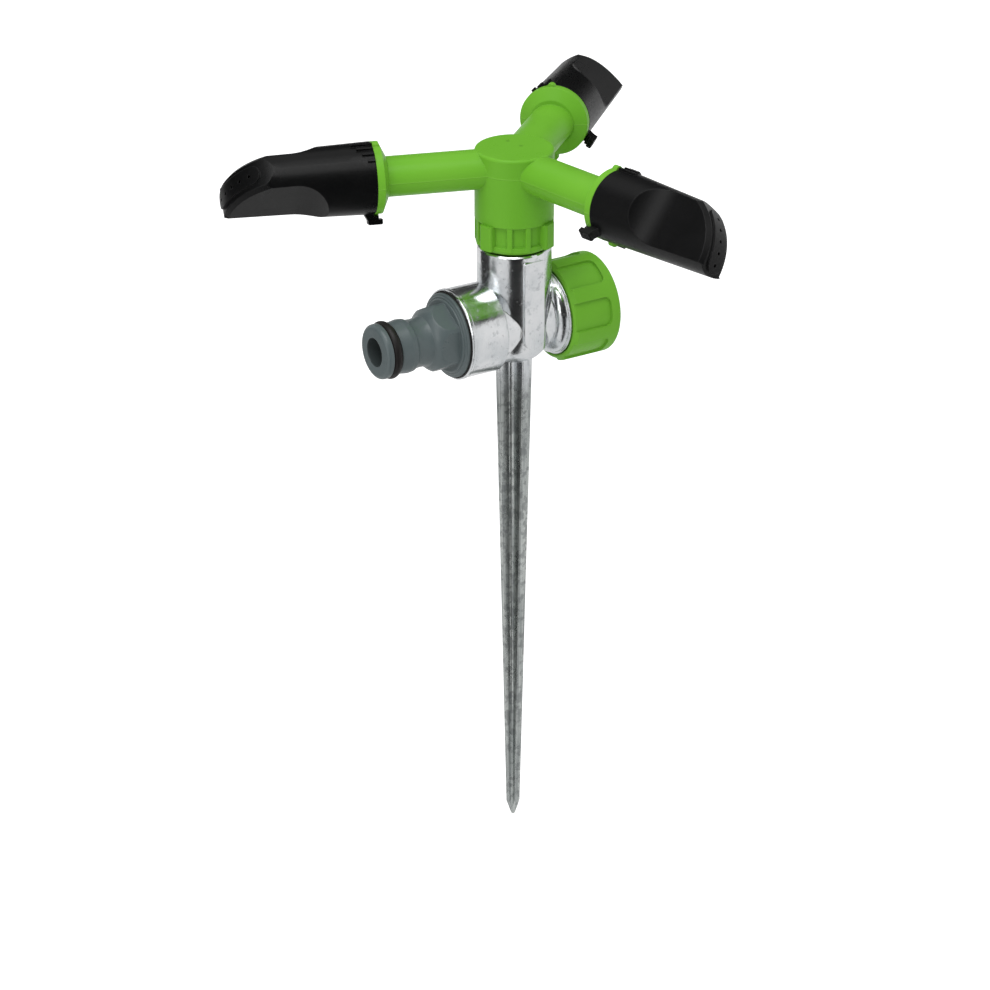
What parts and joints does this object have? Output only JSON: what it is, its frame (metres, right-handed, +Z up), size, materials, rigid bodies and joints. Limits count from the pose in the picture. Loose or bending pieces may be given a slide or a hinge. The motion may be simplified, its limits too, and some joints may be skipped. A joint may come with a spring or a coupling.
{
  "type": "rotary sprinkler",
  "caption": "Rotary lawn sprinkler on a metal ground spike, with turnable jet nozzles on a green rotor, a hose inlet and a capped outlet.",
  "frame": {"origin": "on the axis of the spike and rotor, at ground level, just under the foot of the column", "axes": "+Z up along the spike and the rotor's axis; the hose inlet points along -X and the capped outlet along +X; the flat pad of the column faces -Y"},
  "size_m": [0.1465, 0.1389, 0.2208],
  "materials": {
    "zinc": "polished zinc die casting, fine scratches and pits",
    "green_plastic": "satin moulded plastic",
    "black_plastic": "satin moulded plastic",
    "grey_plastic": "satin moulded plastic",
    "rubber": "dull black rubber",
    "acetal": "smooth white acetal"
  },
  "bodies": {
    "base": {"base_casting": "zinc", "inlet_connector": "grey_plastic", "connector_o_ring": "rubber", "inlet_washer": "rubber", "spindle": "acetal", "spindle_gasket": "rubber", "lower_thrust_washer": "acetal", "upper_thrust_washer": "acetal"},
    "rotor": {"rotor_hub": "green_plastic", "retainer_ring": "green_plastic", "rotor_seal": "rubber", "nozzle_a_o_ring": "rubber", "nozzle_b_o_ring": "rubber", "nozzle_c_o_ring": "rubber"},
    "nozzle_a": {"nozzle_a": "black_plastic"},
    "nozzle_b": {"nozzle_b": "black_plastic"},
    "nozzle_c": {"nozzle_c": "black_plastic"},
    "cap_seal": {"cap_washer": "rubber"},
    "cap": {"outlet_cap": "green_plastic"}
  },
  "joints": [
    {"name": "rotor_spin", "type": "hinge", "parent": "base", "child": "rotor", "pos_m": [0, 0, 0.05985], "axis": [0, 0, 1], "continuous": true},
    {"name": "nozzle_a_turn", "type": "hinge", "parent": "rotor", "child": "nozzle_a", "pos_m": [0.03543, 0.03088, 0.05985], "axis": [0.7538, 0.6571, 0], "range_deg": [0, 48]},
    {"name": "nozzle_b_turn", "type": "hinge", "parent": "rotor", "child": "nozzle_b", "pos_m": [-0.04446, 0.01524, 0.05985], "axis": [-0.946, 0.3242, 0], "range_deg": [0, 48]},
    {"name": "nozzle_c_turn", "type": "hinge", "parent": "rotor", "child": "nozzle_c", "pos_m": [0.00903, -0.04612, 0.05985], "axis": [0.1922, -0.9814, 0], "range_deg": [0, 48]},
    {"name": "cap_travel", "type": "slide", "parent": "base", "child": "cap_seal", "axis": [1, 0, 0], "range_m": [0, 0.0095]},
    {"name": "cap_turn", "type": "hinge", "parent": "cap_seal", "child": "cap", "pos_m": [0.02, 0, 0.013], "axis": [1, 0, 0], "range_deg": [0, 1800]}
  ],
  "couplings": [
    {"joint": "cap_travel", "follows": "cap_turn", "m_per_rad": 0.00028871}
  ]
}
